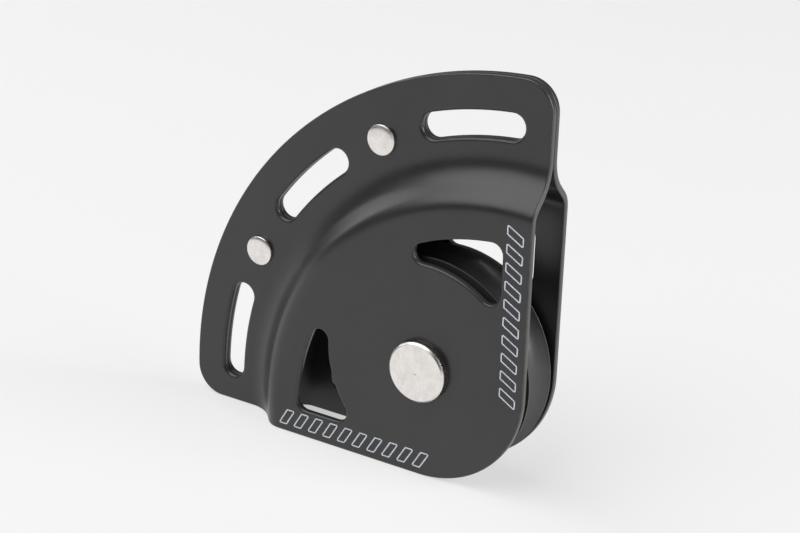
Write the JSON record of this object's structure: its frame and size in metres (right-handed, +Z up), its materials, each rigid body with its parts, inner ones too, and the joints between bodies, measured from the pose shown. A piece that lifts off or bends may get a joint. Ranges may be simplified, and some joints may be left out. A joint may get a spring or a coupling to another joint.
{
  "type": "corner sheave block",
  "caption": "Sheave block for a sail's corner: quarter-circle plates riveted in a slotted flange for webbing, around one grooved sheave on roller bearings.",
  "frame": {"origin": "under the middle of the block, at the height of the plates' straight bottom edges", "axes": "+X to the open side where the rope enters, +Y through the block from the front plate to the rear one, +Z up"},
  "size_m": [0.107, 0.0228, 0.107],
  "materials": {
    "black_anodised": "matte black anodised",
    "black_anodised_turned": "black anodised over fine turning marks",
    "stainless": "satin stainless steel",
    "acetal_black": "matte",
    "acetal_white": "matte"
  },
  "bodies": {
    "plates": {"front_side_plate": "black_anodised", "rear_side_plate": "black_anodised", "axle_pin": "stainless", "axle_screw": "stainless", "bearing_inner_race": "stainless", "thrust_washer_front": "acetal_black", "thrust_washer_rear": "acetal_black", "flange_rivet_upper": "stainless", "flange_rivet_lower": "stainless", "rivet_washer_upper": "stainless", "rivet_washer_lower": "stainless"},
    "sheave": {"sheave": "black_anodised_turned", "sheave_retaining_ring_front": "stainless", "sheave_retaining_ring_rear": "stainless"},
    "roller_cage": {"roller_cage": "acetal_black"},
    "roller_01": {"bearing_roller_01": "acetal_white"},
    "roller_02": {"bearing_roller_02": "acetal_white"},
    "roller_03": {"bearing_roller_03": "acetal_white"},
    "roller_04": {"bearing_roller_04": "acetal_white"},
    "roller_05": {"bearing_roller_05": "acetal_white"},
    "roller_06": {"bearing_roller_06": "acetal_white"},
    "roller_07": {"bearing_roller_07": "acetal_white"},
    "roller_08": {"bearing_roller_08": "acetal_white"},
    "roller_09": {"bearing_roller_09": "acetal_white"},
    "roller_10": {"bearing_roller_10": "acetal_white"},
    "roller_11": {"bearing_roller_11": "acetal_white"},
    "roller_12": {"bearing_roller_12": "acetal_white"}
  },
  "joints": [
    {"name": "sheave_spin", "type": "hinge", "parent": "plates", "child": "sheave", "pos_m": [0.0241, 0, 0.0294], "axis": [0, 1, 0], "continuous": true},
    {"name": "cage_spin", "type": "hinge", "parent": "plates", "child": "roller_cage", "pos_m": [0.0241, 0, 0.0294], "axis": [0, 1, 0], "continuous": true},
    {"name": "roller_01_spin", "type": "hinge", "parent": "roller_cage", "child": "roller_01", "pos_m": [0.034, 0, 0.0294], "axis": [0, 1, 0], "continuous": true},
    {"name": "roller_02_spin", "type": "hinge", "parent": "roller_cage", "child": "roller_02", "pos_m": [0.03267, 0, 0.03435], "axis": [0, 1, 0], "continuous": true},
    {"name": "roller_03_spin", "type": "hinge", "parent": "roller_cage", "child": "roller_03", "pos_m": [0.02905, 0, 0.03797], "axis": [0, 1, 0], "continuous": true},
    {"name": "roller_04_spin", "type": "hinge", "parent": "roller_cage", "child": "roller_04", "pos_m": [0.0241, 0, 0.0393], "axis": [0, 1, 0], "continuous": true},
    {"name": "roller_05_spin", "type": "hinge", "parent": "roller_cage", "child": "roller_05", "pos_m": [0.01915, 0, 0.03797], "axis": [0, 1, 0], "continuous": true},
    {"name": "roller_06_spin", "type": "hinge", "parent": "roller_cage", "child": "roller_06", "pos_m": [0.01553, 0, 0.03435], "axis": [0, 1, 0], "continuous": true},
    {"name": "roller_07_spin", "type": "hinge", "parent": "roller_cage", "child": "roller_07", "pos_m": [0.0142, 0, 0.0294], "axis": [0, 1, 0], "continuous": true},
    {"name": "roller_08_spin", "type": "hinge", "parent": "roller_cage", "child": "roller_08", "pos_m": [0.01553, 0, 0.02445], "axis": [0, 1, 0], "continuous": true},
    {"name": "roller_09_spin", "type": "hinge", "parent": "roller_cage", "child": "roller_09", "pos_m": [0.01915, 0, 0.02083], "axis": [0, 1, 0], "continuous": true},
    {"name": "roller_10_spin", "type": "hinge", "parent": "roller_cage", "child": "roller_10", "pos_m": [0.0241, 0, 0.0195], "axis": [0, 1, 0], "continuous": true},
    {"name": "roller_11_spin", "type": "hinge", "parent": "roller_cage", "child": "roller_11", "pos_m": [0.02905, 0, 0.02083], "axis": [0, 1, 0], "continuous": true},
    {"name": "roller_12_spin", "type": "hinge", "parent": "roller_cage", "child": "roller_12", "pos_m": [0.03267, 0, 0.02445], "axis": [0, 1, 0], "continuous": true}
  ],
  "couplings": [
    {"joint": "cage_spin", "follows": "sheave_spin", "ratio": 0.58838},
    {"joint": "roller_01_spin", "follows": "sheave_spin", "ratio": 2.7402},
    {"joint": "roller_02_spin", "follows": "sheave_spin", "ratio": 2.7402},
    {"joint": "roller_03_spin", "follows": "sheave_spin", "ratio": 2.7402},
    {"joint": "roller_04_spin", "follows": "sheave_spin", "ratio": 2.7402},
    {"joint": "roller_05_spin", "follows": "sheave_spin", "ratio": 2.7402},
    {"joint": "roller_06_spin", "follows": "sheave_spin", "ratio": 2.7402},
    {"joint": "roller_07_spin", "follows": "sheave_spin", "ratio": 2.7402},
    {"joint": "roller_08_spin", "follows": "sheave_spin", "ratio": 2.7402},
    {"joint": "roller_09_spin", "follows": "sheave_spin", "ratio": 2.7402},
    {"joint": "roller_10_spin", "follows": "sheave_spin", "ratio": 2.7402},
    {"joint": "roller_11_spin", "follows": "sheave_spin", "ratio": 2.7402},
    {"joint": "roller_12_spin", "follows": "sheave_spin", "ratio": 2.7402}
  ]
}
